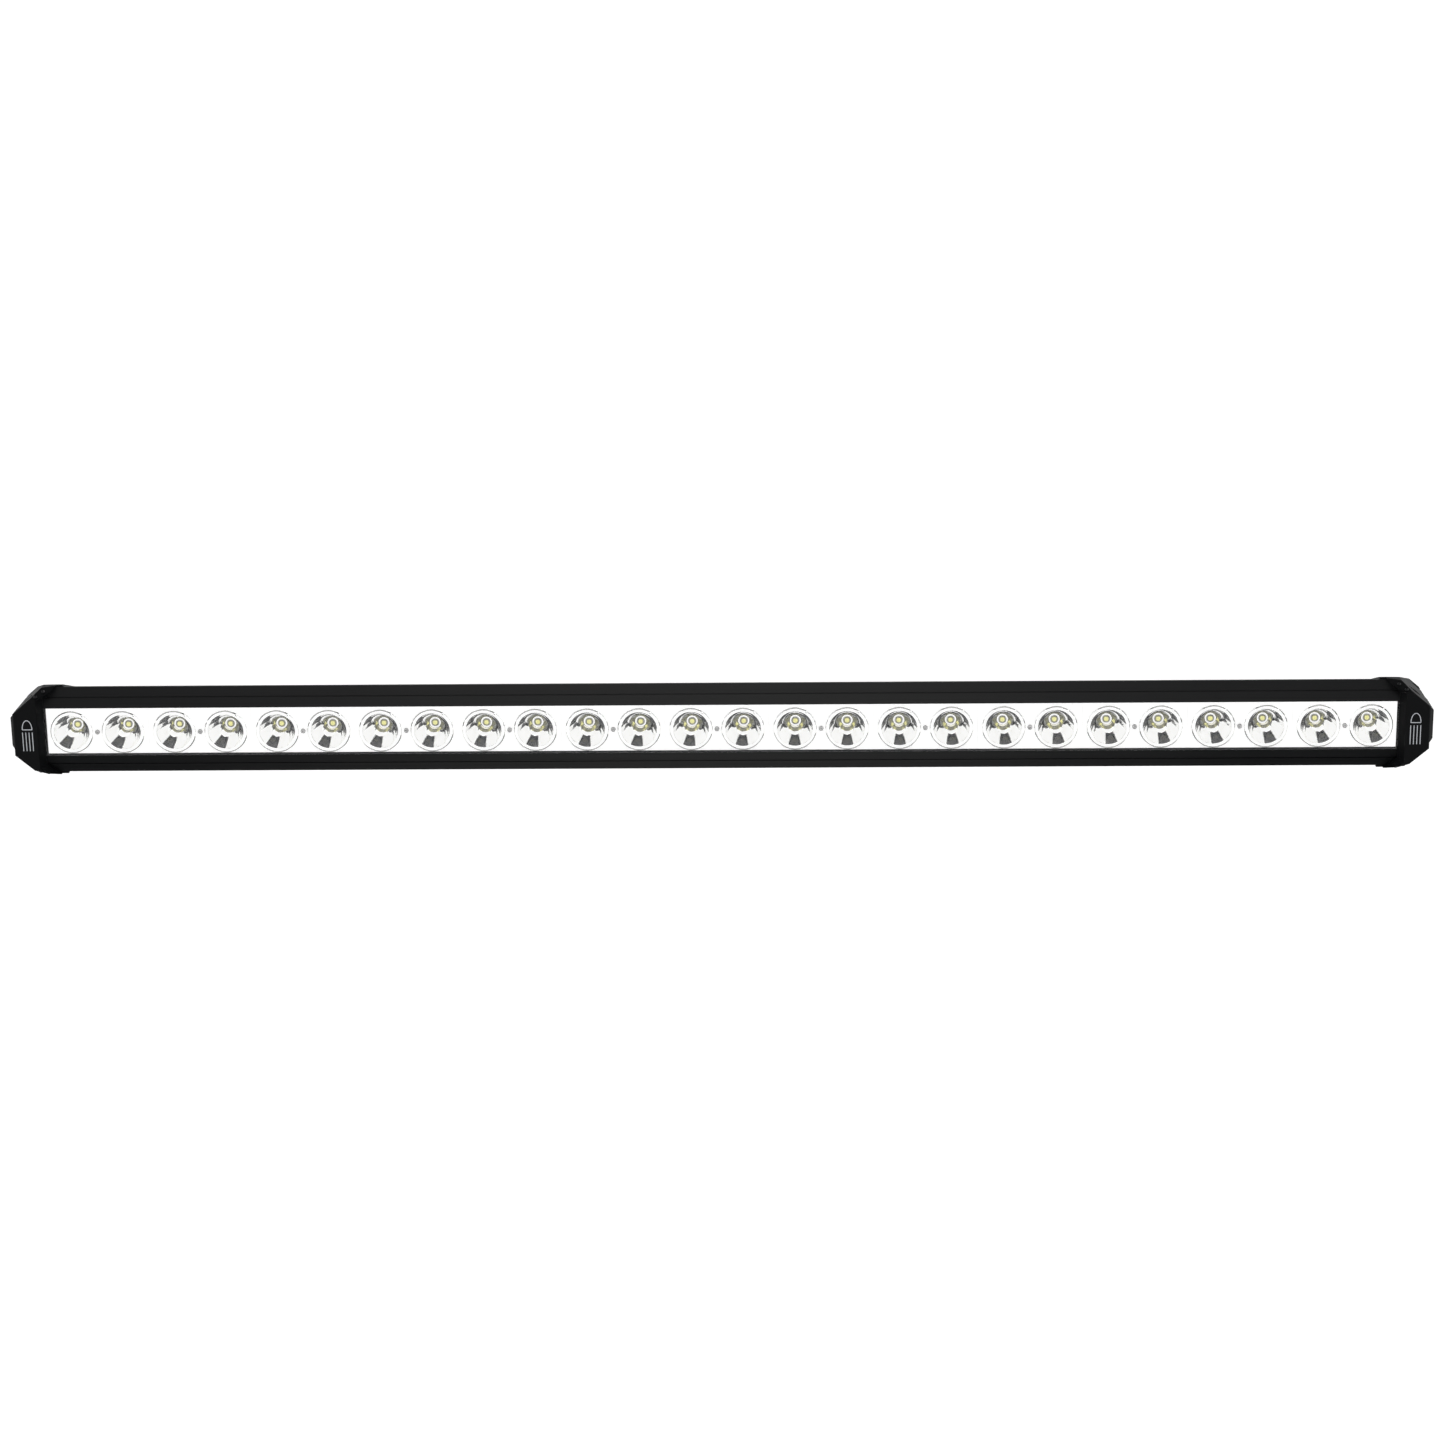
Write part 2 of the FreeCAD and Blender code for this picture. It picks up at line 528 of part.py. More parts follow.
def socket_screw(depth, z):
    """M4 socket-head cap screw along X, head seated in the cap's counterbore."""
    head_r, head_high, bevel, key, key_deep = 3.5, 4.0, 0.4, 3.0, 2.2
    top = SEAT_X + head_high
    head = rod_x(head_r, SEAT_X, top, depth, z)
    head = head.makeChamfer(bevel, [e for e in head.Edges if e.BoundBox.XMin > top - 0.01])
    shank = rod_x(CAP_SCREW_R, HOUSING_HALF - 14, SEAT_X + 0.5, depth, z)
    return head.fuse(shank).removeSplitter().cut(hex_key(key, top - key_deep, top + 1, depth, z))


def corner_screw(point, normal):
    """Small button-head screw standing on the cap's slope."""
    rim, crown, shank_long, key_r = 0.5, 0.7, 5.1, 0.6
    head = Part.makeCylinder(CORNER_HEAD_R, rim, point, normal)
    dome = Part.makeCone(CORNER_HEAD_R, CORNER_HEAD_R - 0.6, crown, point + normal * rim, normal)
    shank = Part.makeCylinder(CORNER_HOLE_R, shank_long + 0.1, point - normal * shank_long, normal)
    key = Part.makeCylinder(key_r, rim + crown, point + normal * rim, normal)
    return head.multiFuse([dome, shank]).removeSplitter().cut(key)


def mount_pad():
    """Bevelled block that turns on the pivot screw and carries the two mounting holes."""
    x0, x1 = PAD_INNER_X, PAD_OUTER_X
    near, far = PIVOT_DEPTH - PAD_DEEP / 2, PIVOT_DEPTH + PAD_DEEP / 2
    pad = box(x0, x1, near, far, -PAD_HIGH / 2, PAD_HIGH / 2)
    rim = [e for e in pad.Edges if all(abs(v.Point.x - x1) < 1e-6 for v in e.Vertexes)]
    pad = pad.makeChamfer(PAD_CHAMFER, rim)
    cone_height = SINK_R - PIVOT_HOLE_R
    cuts = [rod_x(PIVOT_HOLE_R, x0 - 1, x1 + 1, PIVOT_DEPTH, 0)]
    cone_start = V(x1 - cone_height, at(PIVOT_DEPTH), 0)
    cuts.append(Part.makeCone(PIVOT_HOLE_R, SINK_R, cone_height, cone_start, V(1, 0, 0)))
    cuts += [rod_x(MOUNT_HOLE_R, x0 - 1, x1 + 1, PIVOT_DEPTH + offset, 0)
             for offset in (-MOUNT_SPACING / 2, MOUNT_SPACING / 2)]
    return pad.cut(Part.makeCompound(cuts))


def pivot_screw():
    """M8 countersunk screw through the pad into the cap; the pad turns on its shank."""
    top, key, key_deep = PAD_OUTER_X - 0.25, 5.0, 2.4
    cone_height = PIVOT_HEAD_R - PIVOT_R
    cone_start = V(top - cone_height, at(PIVOT_DEPTH), 0)
    head = Part.makeCone(PIVOT_R, PIVOT_HEAD_R, cone_height, cone_start, V(1, 0, 0))
    shank = rod_x(PIVOT_R, POCKET_X - 3, top - cone_height + 0.01, PIVOT_DEPTH, 0)
    return head.fuse(shank).removeSplitter().cut(hex_key(key, top - key_deep, top + 1, PIVOT_DEPTH, 0))


def friction_washer():
    """Thin ring that holds the pad by friction against the cap's outer face."""
    outer_r, hole_r = 9.5, PIVOT_R + 0.3
    ring = rod_x(outer_r, CAP_FACE_X, PAD_INNER_X - 0.05, PIVOT_DEPTH, 0)
    return ring.cut(rod_x(hole_r, CAP_FACE_X - 1, PAD_INNER_X + 1, PIVOT_DEPTH, 0))


# ---- cable gland and breather ----
def gland_body():
    """Threaded gland body with its hexagon and shoulder."""
    back = CAP_BACK
    shoulder, hexagon, collar = back + 1.0, back + 5.0, back + 9.0
    thread = rod_y(GLAND_THREAD_R, back - 8.0, back + 0.5, GLAND_X, 0)
    rim = rod_y(6.9, back, shoulder, GLAND_X, 0)
    nut_seat = rod_y(6.2, hexagon - 0.5, collar, GLAND_X, 0)
    shape = fuse([thread, rim, hex_rod_y(7.5, shoulder, hexagon, GLAND_X, 0), nut_seat])
    return shape.cut(rod_y(GLAND_INNER_R, back - 9, back + 10, GLAND_X, 0))


def gland_seal():
    front, back = CAP_BACK + 0.5, CAP_BACK + 12.0
    ring = rod_y(GLAND_INNER_R - 0.1, front, back, GLAND_X, 0)
    return ring.cut(rod_y(GLAND_BORE_R, front - 1, back + 1, GLAND_X, 0))


def gland_nut():
    """Domed nut that squeezes the seal round a cord."""
    front, collar, shoulder = CAP_BACK + 5.4, CAP_BACK + 9.4, CAP_BACK + 10.4
    skirt_r, outer_r, nose_r = 6.3, 7.5, 5.8
    dome = [(skirt_r, front), (outer_r, front), (outer_r, shoulder), (nose_r, DEPTH), (GLAND_INNER_R, DEPTH),
            (GLAND_INNER_R, collar), (skirt_r, collar)]
    return revolve_y(dome, GLAND_X, 0)


def gland_lock_nut():
    nut = hex_rod_y(7.2, CAP_BACK - 8.0, CAP_BACK - 5.1, GLAND_X, 0)
    return nut.cut(rod_y(GLAND_THREAD_R + 0.05, CAP_BACK - 9, CAP_BACK - 4, GLAND_X, 0))


def breather_vent():
    """Membrane vent plug on the left cap, drawn on the right and mirrored."""
    back, cover, slot_half = CAP_BACK, 3.2, 0.4
    thread = rod_y(VENT_HOLE_R - 0.1, back - 7.0, back + 0.5, GLAND_X, 0)
    shape = fuse([thread, rod_y(6.0, back, back + cover, GLAND_X, 0)])
    slots = [box(GLAND_X - 7, GLAND_X + 7, back + 1.4, back + 2.2, z - slot_half, z + slot_half)
             for z in (-3, 0, 3)]
    return shape.cut(Part.makeCompound(slots))


# ---- write every node ----
def build_housing_parts():
    save("housing", housing())
    save("lens", lens())
    save("lens_seal", lens_seal())


def build_optics():
    for number, x in enumerate(module_centres(), start=1):
        save(f"reflector_{number:02d}", reflector(x))
    save("reflector_screws", [reflector_screw(x) for x in module_centres()])
    board_hole_r, pad_hole_r = SCREW_HOLE_R + 0.1, SCREW_HOLE_R + 0.6
    for side, span in board_spans().items():
        save(f"led_board_{side}", led_board(span, BOARD_FRONT, BOARD_BACK, BOARD_Z, board_hole_r))
        save(f"thermal_pad_{side}", led_board(span, BOARD_BACK, SHELF_FRONT, THERMAL_PAD_Z, pad_hole_r))
    save("led_packages", [led_package(x) for x in cup_centres()])
    save("led_domes", [led_dome(x) for x in cup_centres()])


def build_driver():
    save("driver_board", driver_board())
    save("driver_gap_pad", driver_gap_pad())
    stages, spacing = 6, 60.0
    spots = [DRIVER_X0 + spacing * (i + 0.5) for i in range(stages)]
    save("driver_inductors", [inductor(x) for x in spots])
    save("driver_capacitors", [capacitor(x + 20) for x in spots])
    save("driver_transistors", [transistor(x) for x in spots])
    save("terminal_block", terminal_block())
    save("input_leads", input_leads())
    save("lead_splices", lead_splices())
    save("output_leads", output_leads())
    save("lead_grommet", grommet())


def build_ends():
    cap = end_cap()
    save("end_cap_right", with_rear_hole(cap, GLAND_HOLE_R))
    save("end_cap_left", to_left(with_rear_hole(cap, VENT_HOLE_R)))
    corner = [corner_screw(p, slope_normal(sign)) for sign in (1, -1) for p in corner_points(sign)]
    pieces = {"end_gasket": end_gasket(), "mount_pad": mount_pad(), "pivot_screw": pivot_screw(),
              "friction_washer": friction_washer(), "corner_screws": Part.makeCompound(corner),
              "cap_screws": Part.makeCompound([socket_screw(d, z) for d, z in CAP_SCREWS])}
    for name, shape in pieces.items():
        save(name + "_right", shape)
        save(name + "_left", to_left(shape))
    save("gland_body", gland_body())
    save("gland_seal", gland_seal())
    save("gland_nut", gland_nut())
    save("gland_lock_nut", gland_lock_nut())
    save("breather_vent", to_left(breather_vent()))


os.makedirs(OUT, exist_ok=True)
build_housing_parts()
build_optics()
build_driver()
build_ends()
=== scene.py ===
"""Looks of the single-row LED light bar: materials for every CAD node, a generic high-beam mark
printed on each end cap, a pale floor, soft studio light and a camera in front of the bar, a little
above it. Lengths are in metres."""

import json
import math

import bmesh
import bpy
from mathutils import Matrix, Vector


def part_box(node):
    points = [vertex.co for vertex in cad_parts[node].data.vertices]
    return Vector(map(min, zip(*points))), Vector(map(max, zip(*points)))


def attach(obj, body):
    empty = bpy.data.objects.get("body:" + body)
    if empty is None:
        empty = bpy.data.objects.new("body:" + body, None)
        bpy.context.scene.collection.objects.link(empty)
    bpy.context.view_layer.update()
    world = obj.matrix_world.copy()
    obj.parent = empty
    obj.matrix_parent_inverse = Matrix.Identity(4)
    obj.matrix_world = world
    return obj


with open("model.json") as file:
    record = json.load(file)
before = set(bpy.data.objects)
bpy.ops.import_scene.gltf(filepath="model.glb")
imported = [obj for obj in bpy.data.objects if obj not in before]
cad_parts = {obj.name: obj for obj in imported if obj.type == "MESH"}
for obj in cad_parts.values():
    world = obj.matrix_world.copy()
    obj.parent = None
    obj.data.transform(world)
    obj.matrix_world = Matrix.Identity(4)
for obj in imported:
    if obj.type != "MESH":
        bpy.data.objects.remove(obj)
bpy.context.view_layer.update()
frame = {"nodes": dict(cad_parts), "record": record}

# ---- where things are, from the frame ----
HOUSING_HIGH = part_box("housing")[1]
CAP_LOW, CAP_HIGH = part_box("end_cap_right")
CUPS_PER_REFLECTOR = 2
REFLECTORS = [name for name in frame["nodes"]
              if name.startswith("reflector_") and name[-2:].isdigit()]
EMITTERS = CUPS_PER_REFLECTOR * len(REFLECTORS)

# ---- finishes ----
SMOOTH_ANGLE = 28  # edges sharper than this stay sharp
MIDDLE_PAINTED_LIGHT = 0.75  # painted light: how far the extrusion is painted towards its paler tone at the middle of its length
PHOSPHOR_HALF = 0.0015
PHOSPHOR_SOFT_EDGE, PHOSPHOR_SHARP_EDGE = 0.0004, 0.0001
# painted light: a weak glow on the unlit emitter package, standing for the phosphor's fluorescence
PHOSPHOR_PAINTED_GLOW = 0.34
LENS_IOR = 1.40  # polycarbonate's is about 1.58: the lower value bends and reflects less
SILICONE_IOR = 1.41
SILICONE_CLEAR = 0.88
TRACKS_PER_METRE = 160

# ---- the mark printed on each cap ----
MARK_HIGH, MARK_WIDE = 0.0285, 0.0088
MARK_MIDDLE = -0.0006  # height of its middle
MARK_LIFT = 0.00012  # thickness of the ink
MARK_LINE = 0.00065
MARK_RAYS = 4
MARK_LAMP_SHARE = 0.30  # the lamp's share of the mark's height
MARK_GAP_SHARE = 0.09  # the gap between the lamp and its rays
ARC_STEPS = 28

# ---- camera ----
CAMERA_AWAY = 3.0  # from the bar's middle
CAMERA_SIDE = 0.110  # to the right of the bar's middle
CAMERA_ELEVATION = math.radians(16.5)
CAMERA_YAW = math.radians(-2.11)
CAMERA_EXTRA_PITCH = math.radians(0.048)
CAMERA_ROLL = math.radians(-0.905)
CAMERA_LENS = 82.95  # mm on a 36 mm sensor
CAMERA_CLIP = (0.05, 100)

# ---- floor, overhead light and black card ----
FLOOR_DROP = 0.55  # the floor lies this far below the bar's middle
FLOOR_HALF = 40.0
FLOOR_GLOW = 0.42  # keeps the floor white as far as any view sees
CEILING_HALF, CEILING_HEIGHT = 24.0, 6.0  # large soft light overhead
CEILING_WATTS = 400.0
FLAG_DROP = 0.30
FLAG_LENGTH = 2.0
FLAG_FRONT, FLAG_BACK = -0.25, 0.45
GRID_CUTS = 4

# ---- sky: (start, end) of each fade in degrees ----
SKY_STRENGTH = 1.05
SKY_WHITE = (1, 1, 1, 1.0)
SKY_DARK = (0.016, 0.017, 0.020, 1.0)
FRONT_BOTTOM = (2.0, 6.0)
FRONT_TOP = (36.0, 41.0)
FRONT_SIDE = (-2.0, 2.0)
FRONT_HALF = (36.0, 22.0)  # half width of the dark zone at the two elevations below
FRONT_HALF_AT = (5.0, 32.0)
BROW_BOOST = 1.2  # the sky is this much brighter just above the dark zone in front
BROW_RISE = (34.0, 40.0)
BROW_HALF = 26.0
CEILING_DARK = (50.0, 58.0)


# ---- node graphs ----
class Graph:
    """Short calls for a node tree: each returns the socket that carries the result."""

    def __init__(self, tree):
        self.nodes = tree.nodes
        self.links = tree.links

    def node(self, kind, inputs=None, **settings):
        made = self.nodes.new(kind)
        for name, value in settings.items():
            setattr(made, name, value)
        for key, value in (inputs or {}).items():
            self.feed(made.inputs[key], value)
        return made

    def feed(self, socket, value):
        if isinstance(value, bpy.types.NodeSocket):
            self.links.new(value, socket)
        else:
            socket.default_value = value

    def place(self):
        return self.node("ShaderNodeTexCoord").outputs["Object"]

    def stretched(self, scale):
        """Object coordinates, stretched by a scale for each axis."""
        mapping = self.node("ShaderNodeMapping", {"Vector": self.place()})
        mapping.inputs["Scale"].default_value = scale
        return mapping.outputs["Vector"]

    def noise(self, scale, detail, roughness, stretch=(1, 1, 1)):
        inputs = {"Vector": self.stretched(stretch), "Scale": scale, "Detail": detail,
                  "Roughness": roughness}
        return self.node("ShaderNodeTexNoise", inputs).outputs["Fac"]

    def math(self, operation, a, b=0.0):
        return self.node("ShaderNodeMath", {0: a, 1: b}, operation=operation).outputs[0]

    def between(self, value, low, high, from_low=0.3, from_high=0.7):
        """Low to high as the value goes over its span, which is by default a noise's usual one."""
        inputs = {"Value": value, "From Min": from_low, "From Max": from_high,
                  "To Min": low, "To Max": high}
        return self.node("ShaderNodeMapRange", inputs).outputs["Result"]

    def step(self, value, low, high):
        """0 at low, 1 at high, smooth between."""
        inputs = {"Value": value, "From Min": low, "From Max": high}
        made = self.node("ShaderNodeMapRange", inputs, interpolation_type="SMOOTHSTEP")
        return made.outputs["Result"]

    def mix(self, factor, a, b):
        made = self.node("ShaderNodeMix", data_type="RGBA")
        self.feed(made.inputs["Factor"], factor)
        self.feed(made.inputs[6], a)
        self.feed(made.inputs[7], b)
        return made.outputs[2]

    def tone(self, noise, a, b):
        """Colour that goes from one to the other with a noise."""
        return self.mix(self.between(noise, 0, 1), a, b)

    def bump(self, height, distance, strength):
        inputs = {"Height": height, "Distance": distance, "Strength": strength}
        return self.node("ShaderNodeBump", inputs).outputs["Normal"]


def rgb(r, g, b):
    return (r, g, b, 1.0)


def new_material(name):
    material = bpy.data.materials.new(name)
    material.use_nodes = True
    material.node_tree.nodes.clear()
    graph = Graph(material.node_tree)
    shader = graph.node("ShaderNodeBsdfPrincipled")
    output = graph.node("ShaderNodeOutputMaterial")
    graph.links.new(shader.outputs["BSDF"], output.inputs["Surface"])
    return material, graph, shader


def set_shader(graph, shader, **values):
    names = {"colour": "Base Color", "rough": "Roughness", "metal": "Metallic", "normal": "Normal",
             "specular": "Specular IOR Level", "ior": "IOR", "through": "Transmission Weight",
             "glow": "Emission Strength", "glow_colour": "Emission Color"}
    for key, value in values.items():
        graph.feed(shader.inputs[names[key]], value)


# ---- materials ----
def anodised_black():
    """Extruded aluminium: fine lines along the length and a dull black dye. It is painted paler
    towards the middle of the length, as the bar looks in the photograph: painted light, not the
    dye's tone."""
    material, g, shader = new_material("anodised_black")
    lines = g.noise(1.0, 4, 0.6, (3, 900, 900))
    patches = g.noise(6.0, 3, 0.55, (1, 3, 3))
    grain = g.noise(2600, 2, 0.5)
    base = g.mix(g.between(patches, 0, 1, 0.35, 0.65),
                 rgb(0.0045, 0.0049, 0.0054), rgb(0.0072, 0.0075, 0.0078))
    colour = g.mix(g.between(lines, 0, 0.35), base, rgb(0.0135, 0.0140, 0.0145))
    along = g.node("ShaderNodeSeparateXYZ", {"Vector": g.place()}).outputs["X"]
    # painted light: the paler tone towards the middle of the length stands in for light falling
    # brighter there
    middle = g.step(g.math("ABSOLUTE", along), HOUSING_HIGH.x, 0.0)
    colour = g.mix(g.math("MULTIPLY", middle, MIDDLE_PAINTED_LIGHT), colour, rgb(0.0250, 0.0253, 0.0250))
    rough = g.math("ADD", g.between(lines, 0.34, 0.45), g.between(grain, -0.03, 0.03))
    height = g.math("ADD", g.math("MULTIPLY", lines, 0.7), g.math("MULTIPLY", grain, 0.3))
    set_shader(g, shader, colour=colour, rough=rough, normal=g.bump(height, 0.00004, 0.5),
               specular=0.14)
    return material


def powder_coat(name, dark, light, specular, fine=1500.0):
    """Powder-coated casting: an even orange-peel texture with a faint speckle."""
    material, g, shader = new_material(name)
    peel = g.noise(fine, 2, 0.45)
    speckle = g.noise(fine * 3.1, 2, 0.5)
    cloud = g.noise(14, 3, 0.5)
    colour = g.tone(cloud, dark, light)
    colour = g.mix(g.between(speckle, 0, 0.30, 0.60, 0.75), colour, rgb(0.012, 0.0125, 0.013))
    rough = g.math("ADD", g.between(cloud, 0.44, 0.54), g.between(peel, -0.05, 0.05))
    set_shader(g, shader, colour=colour, rough=rough, normal=g.bump(peel, 0.00006, 0.6),
               specular=specular)
    return material


def metallised():
    """Vacuum-metallised plastic: a bright mirror with the faintest ripple and dust."""
    material, g, shader = new_material("reflector_metallised")
    ripple = g.noise(120, 2, 0.4)
    dust = g.noise(4200, 2, 0.6)
    colour = g.mix(g.between(dust, 0, 0.5, 0.62, 0.78),
                   rgb(0.955, 0.955, 0.950), rgb(0.86, 0.86, 0.85))
    rough = g.math("ADD", g.between(ripple, 0.015, 0.035), g.between(dust, 0.0, 0.05, 0.6, 0.8))
    set_shader(g, shader, colour=colour, rough=rough, metal=1.0,
               normal=g.bump(ripple, 0.00001, 0.25))
    return material


def clear_lens():
    """Hard-coated clear polycarbonate with hardly any haze."""
    material, g, shader = new_material("lens_clear")
    haze = g.noise(35, 3, 0.5)
    ripple = g.noise(8, 1, 0.3)
    set_shader(g, shader, colour=rgb(1, 1, 1), rough=g.between(haze, 0.0, 0.012), through=1.0,
               ior=LENS_IOR, specular=0.25, normal=g.bump(ripple, 0.000004, 0.2))
    return material


def rubber():
    """Black silicone or rubber with a dull bloom and fine pores."""
    material, g, shader = new_material("seal_rubber")
    bloom = g.noise(90, 4, 0.6)
    pores = g.noise(1900, 2, 0.5)
    set_shader(g, shader, colour=g.tone(bloom, rgb(0.012, 0.012, 0.013), rgb(0.028, 0.028, 0.030)),
               rough=g.between(bloom, 0.62, 0.82), normal=g.bump(pores, 0.00005, 0.5), specular=0.3)
    return material


def stainless():
    """Bright cold-headed steel with turning marks."""
    material, g, shader = new_material("stainless")
    marks = g.noise(700, 3, 0.6)
    tint = g.noise(60, 2, 0.5)
    set_shader(g, shader, colour=g.tone(tint, rgb(0.44, 0.44, 0.44), rgb(0.56, 0.555, 0.55)),
               rough=g.between(marks, 0.20, 0.38), metal=1.0, normal=g.bump(marks, 0.00003, 0.4))
    return material


def black_oxide():
    """Black-oxide screw steel, worn a little in patches."""
    material, g, shader = new_material("black_screw")
    marks = g.noise(900, 3, 0.6)
    worn = g.noise(260, 4, 0.65)
    colour = g.mix(g.between(worn, 0, 0.8, 0.56, 0.74),
                   rgb(0.030, 0.030, 0.032), rgb(0.16, 0.155, 0.15))
    set_shader(g, shader, colour=colour, rough=g.between(marks, 0.30, 0.46), metal=0.85,
               normal=g.bump(marks, 0.00003, 0.4))
    return material


def solder_mask(name, base, light):
    """Circuit board: solder mask over faint copper tracks."""
    material, g, shader = new_material(name)
    weave = g.noise(800, 2, 0.5)
    brick = {"Vector": g.stretched((TRACKS_PER_METRE,) * 3), "Scale": 1.0, "Mortar Size": 0.05}
    tracks = g.node("ShaderNodeTexBrick", brick).outputs["Fac"]
    colour = g.mix(g.math("MULTIPLY", tracks, 0.35), rgb(*base), rgb(*light))
    height = g.math("ADD", g.math("MULTIPLY", tracks, 0.5), g.math("MULTIPLY", weave, 0.2))
    set_shader(g, shader, colour=colour, rough=g.between(weave, 0.28, 0.40),
               normal=g.bump(height, 0.00003, 0.6))
    return material


def emitter_square(g):
    """Two masks: 0 on the phosphor in the middle of each package and 1 on its border, with a soft
    edge and with a sharp one."""
    low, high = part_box("led_packages")
    size = high.z - low.z
    pitch = (high.x - low.x - size) / (EMITTERS - 1)
    parts = g.node("ShaderNodeSeparateXYZ", {"Vector": g.place()})
    from_first = g.math("SUBTRACT", parts.outputs["X"], low.x + size / 2)
    turn = g.math("ADD", g.math("DIVIDE", from_first, pitch), 0.5)
    off_centre = g.math("SUBTRACT", g.math("FRACT", turn), 0.5)
    across = g.math("ABSOLUTE", g.math("MULTIPLY", off_centre, pitch))
    up = g.math("ABSOLUTE", g.math("SUBTRACT", parts.outputs["Z"], (low.z + high.z) / 2))
    far = g.math("MAXIMUM", across, up)
    return (g.step(far, PHOSPHOR_HALF, PHOSPHOR_HALF + PHOSPHOR_SOFT_EDGE),
            g.step(far, PHOSPHOR_HALF, PHOSPHOR_HALF + PHOSPHOR_SHARP_EDGE))


def ceramic_emitter():
    """Emitter package: olive-grey ceramic with a pale yellow phosphor square in its middle. The
    weak glow is painted light for the phosphor's fluorescence, and was set against the photograph."""
    material, g, shader = new_material("led_ceramic")
    specks = g.noise(3000, 2, 0.5)
    soft_edge, sharp_edge = emitter_square(g)
    olive = g.tone(specks, rgb(0.240, 0.235, 0.160), rgb(0.330, 0.325, 0.230))
    yellow = g.tone(specks, rgb(0.86, 0.85, 0.52), rgb(0.93, 0.92, 0.64))
    colour = g.mix(soft_edge, yellow, olive)
    set_shader(g, shader, colour=colour, rough=g.between(specks, 0.35, 0.55), glow=PHOSPHOR_PAINTED_GLOW,
               glow_colour=colour, normal=g.bump(g.math("ADD", specks, sharp_edge), 0.00003, 0.5))
    return material


def silicone_dome():
    """Clear silicone with a faint yellow cast; the phosphor shows through it."""
    material, g, shader = new_material("led_dome")
    cloud = g.noise(900, 2, 0.5)
    set_shader(g, shader, colour=g.tone(cloud, rgb(0.99, 0.97, 0.84), rgb(1.0, 0.99, 0.92)),
               rough=g.between(cloud, 0.02, 0.06), through=SILICONE_CLEAR, ior=SILICONE_IOR,
               normal=g.bump(cloud, 0.00001, 0.2))
    return material


def moulded(name, base, light, rough_low, rough_high):
    """Moulded or filled plastic: small mottling, fine texture."""
    material, g, shader = new_material(name)
    mottle = g.noise(70.0, 3, 0.55)
    texture = g.noise(1680.0, 2, 0.5)
    set_shader(g, shader, colour=g.tone(mottle, rgb(*base), rgb(*light)),
               rough=g.between(mottle, rough_low, rough_high), normal=g.bump(texture, 0.00004, 0.5))
    return material


def capacitor_can():
    """Shrink-sleeved aluminium can."""
    material, g, shader = new_material("capacitor")
    brushed = g.noise(500, 3, 0.6, (1, 4, 4))
    set_shader(g, shader, colour=g.tone(brushed, rgb(0.05, 0.06, 0.10), rgb(0.09, 0.10, 0.16)),
               rough=g.between(brushed, 0.25, 0.4), normal=g.bump(brushed, 0.00002, 0.4))
    return material


def tinned():
    """Frosty tinned metal of the crimped splices."""
    material, g, shader = new_material("splice_tin")
    frost = g.noise(1300, 4, 0.6)
    set_shader(g, shader, colour=g.tone(frost, rgb(0.56, 0.56, 0.57), rgb(0.74, 0.74, 0.74)),
               rough=g.between(frost, 0.28, 0.5), metal=1.0, normal=g.bump(frost, 0.00003, 0.5))
    return material


def printed_white():
    """White pad-print ink with slightly ragged coverage."""
    material, g, shader = new_material("print_white")
    cover = g.noise(2600, 3, 0.6)
    set_shader(g, shader, colour=g.tone(cover, rgb(0.42, 0.44, 0.48), rgb(0.62, 0.64, 0.67)),
               rough=g.between(cover, 0.35, 0.5), normal=g.bump(cover, 0.00001, 0.5))
    return material


MATERIALS = {
    "anodised_black": anodised_black(),
    "cast_black": powder_coat("cast_black", rgb(0.0030, 0.0033, 0.0037),
                              rgb(0.0046, 0.0049, 0.0053), 0.06),
    "pad_black": powder_coat("pad_black", rgb(0.0045, 0.0048, 0.0052),
                             rgb(0.0070, 0.0073, 0.0077), 0.12, 1150.0),
    "reflector_metallised": metallised(),
    "lens_clear": clear_lens(),
    "seal_rubber": rubber(),
    "stainless": stainless(),
    "black_screw": black_oxide(),
    "board_white": solder_mask("board_white", (0.82, 0.83, 0.82), (0.70, 0.71, 0.69)),
    "board_green": solder_mask("board_green", (0.012, 0.085, 0.035), (0.030, 0.145, 0.060)),
    "led_ceramic": ceramic_emitter(),
    "led_dome": silicone_dome(),
    "capacitor": capacitor_can(),
    "splice_tin": tinned(),
}

MOULDED = {
    "thermal_grey": ((0.26, 0.27, 0.29), (0.33, 0.34, 0.36), 0.6, 0.8),
    "component_dark": ((0.020, 0.020, 0.022), (0.040, 0.040, 0.042), 0.4, 0.6),
    "terminal_green": ((0.010, 0.16, 0.055), (0.020, 0.21, 0.080), 0.35, 0.5),
    "wire_insulation": ((0.22, 0.010, 0.008), (0.30, 0.016, 0.012), 0.35, 0.5),
    "gland_nylon": ((0.010, 0.010, 0.011), (0.018, 0.018, 0.019), 0.38, 0.52),
    "washer_nylon": ((0.014, 0.014, 0.015), (0.024, 0.024, 0.025), 0.40, 0.55),
}

for slot_name, look in MOULDED.items():
    MATERIALS[slot_name] = moulded(slot_name, *look)


def smooth_by_angle(target, degrees):
    """Smooth shading inside each face group, with edges sharper than the angle kept sharp."""
    mesh = target.data
    limit = math.radians(degrees)
    work = bmesh.new()
    work.from_mesh(mesh)
    for face in work.faces:
        face.smooth = True
    for edge in work.edges:
        edge.smooth = len(edge.link_faces) == 2 and edge.calc_face_angle(0.0) < limit
    work.to_mesh(mesh)
    work.free()


def finish_nodes():
    """Every CAD node gets the material of its slot in the record."""
    slots = {part["node"]: part["material_slot"] for part in frame["record"]["subparts"]}
    for name, node in frame["nodes"].items():
        node.data.materials.clear()
        node.data.materials.append(MATERIALS[slots[name]])
        smooth_by_angle(node, SMOOTH_ANGLE)


